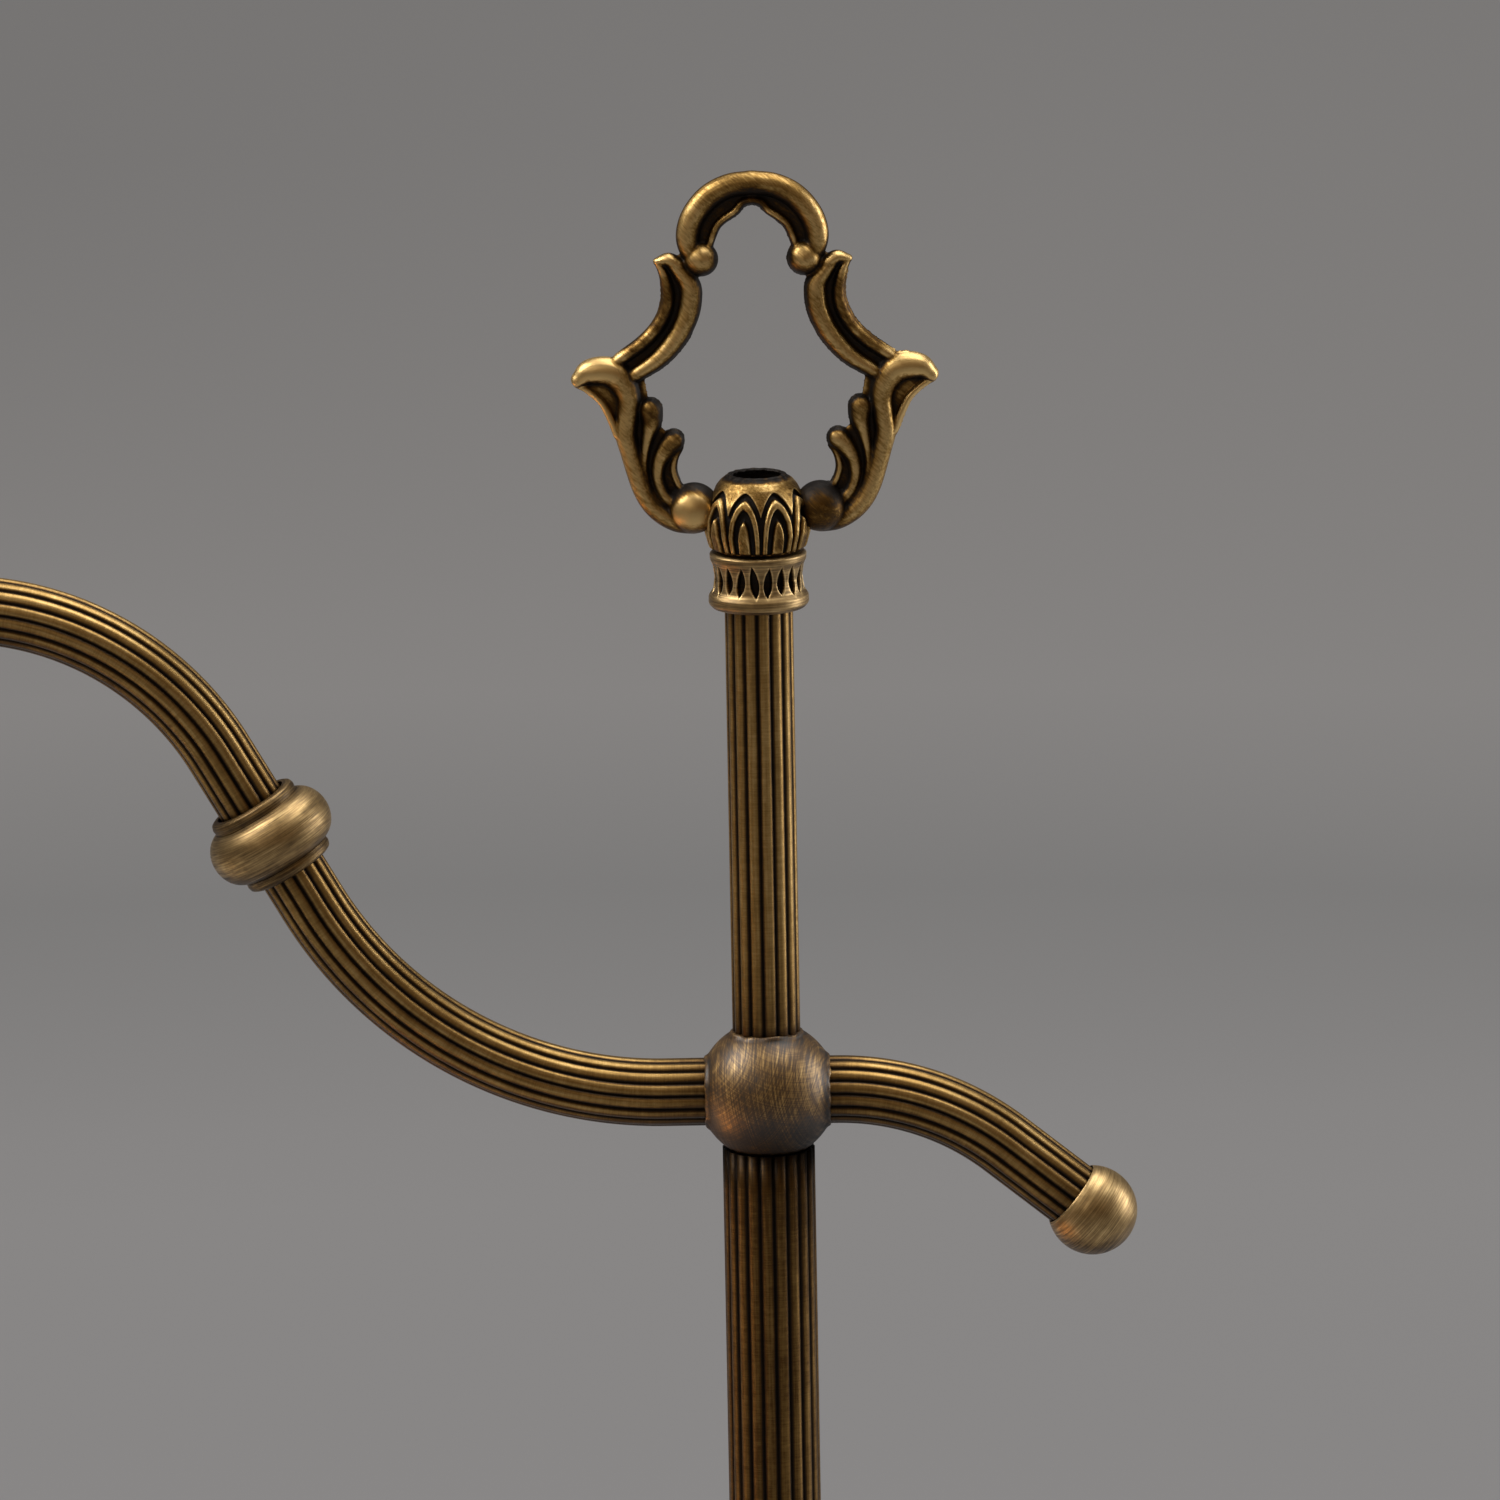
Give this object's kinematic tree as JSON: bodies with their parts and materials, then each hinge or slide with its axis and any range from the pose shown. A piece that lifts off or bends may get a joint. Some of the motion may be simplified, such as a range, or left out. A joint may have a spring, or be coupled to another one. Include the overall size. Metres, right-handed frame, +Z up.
{
  "type": "bridge arm floor lamp",
  "caption": "Antique-brass floor lamp: weighted round base, reeded post, swivelling S-curved bridge arm with tail ball and loop finial, tilting opal glass shade.",
  "frame": {"origin": "middle of the base's underside, on the floor", "axes": "+Z up along the post; the bridge lies in the XZ plane with the long arm to -X and the tail to +X; -Y is the front"},
  "size_m": [0.5258, 0.275, 1.5101],
  "materials": {
    "antique_brass": "darkened and brushed back on the high places, satin",
    "turned_brass": "machined, bare",
    "steel": "plain, zinc plated",
    "cast_iron": "rough, painted",
    "pad_rubber": "matt",
    "black_moulding": "moulded, satin",
    "fibre": "pressed fibre",
    "opal_glass": "opal, satin outside",
    "bulb_glass": "frosted white",
    "lead_jacket": "woven jacket"
  },
  "bodies": {
    "stand": {"floor_pad": "pad_rubber", "base_weight": "cast_iron", "base_cover": "antique_brass", "base_neck": "antique_brass", "base_washer": "steel", "base_nut": "steel", "cord_gland": "black_moulding", "lamp_pipe": "steel", "post_lower": "antique_brass", "post_coupling_lower": "antique_brass", "post_middle": "antique_brass", "post_coupling_upper": "antique_brass", "post_upper": "antique_brass", "pipe_plug": "steel", "swivel_bush": "turned_brass", "swivel_washer": "fibre", "post_lead": "lead_jacket"},
    "bridge": {"hub_ball": "antique_brass", "swivel_stem": "steel", "swivel_lock_washer": "steel", "swivel_nut": "steel", "arm_tube_inner": "antique_brass", "arm_tube_outer": "antique_brass", "arm_joint_spigot": "turned_brass", "arm_collar": "antique_brass", "arm_lead": "lead_jacket", "tail_tube": "antique_brass", "tail_ball": "antique_brass", "upper_tube": "antique_brass", "finial_rod": "steel", "finial_collar": "antique_brass", "finial_bulb": "antique_brass", "finial_loop": "antique_brass", "finial_washer": "steel", "finial_nut": "steel", "knuckle_fork": "antique_brass", "knuckle_screw": "steel"},
    "tilt_knob": {"tilt_knob": "antique_brass"},
    "head": {"knuckle_tongue": "antique_brass", "head_nipple": "steel", "shade_gallery": "antique_brass", "glass_shade": "opal_glass", "socket_cap": "antique_brass", "socket_shell": "antique_brass", "socket_liner": "fibre", "socket_body": "black_moulding", "screw_shell": "turned_brass", "centre_contact": "turned_brass", "bulb_base": "steel", "bulb_glass": "bulb_glass", "head_lead": "lead_jacket"},
    "socket_key": {"socket_key": "black_moulding"},
    "shade_screw_1": {"thumb_screw_1": "antique_brass"},
    "shade_screw_2": {"thumb_screw_2": "antique_brass"},
    "shade_screw_3": {"thumb_screw_3": "antique_brass"}
  },
  "joints": [
    {"name": "arm_swivel", "type": "hinge", "parent": "stand", "child": "bridge", "pos_m": [0, 0, 1.234], "axis": [0, 0, 1], "range_deg": [-165, 165]},
    {"name": "head_tilt", "type": "hinge", "parent": "bridge", "child": "head", "pos_m": [-0.30575, 0, 1.28205], "axis": [0, 1, 0], "range_deg": [-45, 45]},
    {"name": "tilt_knob_turn", "type": "hinge", "parent": "bridge", "child": "tilt_knob", "pos_m": [-0.30575, 0, 1.28205], "axis": [0, 1, 0], "range_deg": [0, 270]},
    {"name": "socket_key_turn", "type": "hinge", "parent": "head", "child": "socket_key", "pos_m": [-0.30575, -0.025, 1.22706], "axis": [0, -1, 0], "continuous": true},
    {"name": "shade_screw_1_slide", "type": "slide", "parent": "head", "child": "shade_screw_1", "axis": [0, 1, 0], "range_m": [0, 0.004]},
    {"name": "shade_screw_2_slide", "type": "slide", "parent": "head", "child": "shade_screw_2", "axis": [-0.866, -0.5, 0], "range_m": [0, 0.004]},
    {"name": "shade_screw_3_slide", "type": "slide", "parent": "head", "child": "shade_screw_3", "axis": [0.866, -0.5, 0], "range_m": [0, 0.004]}
  ]
}
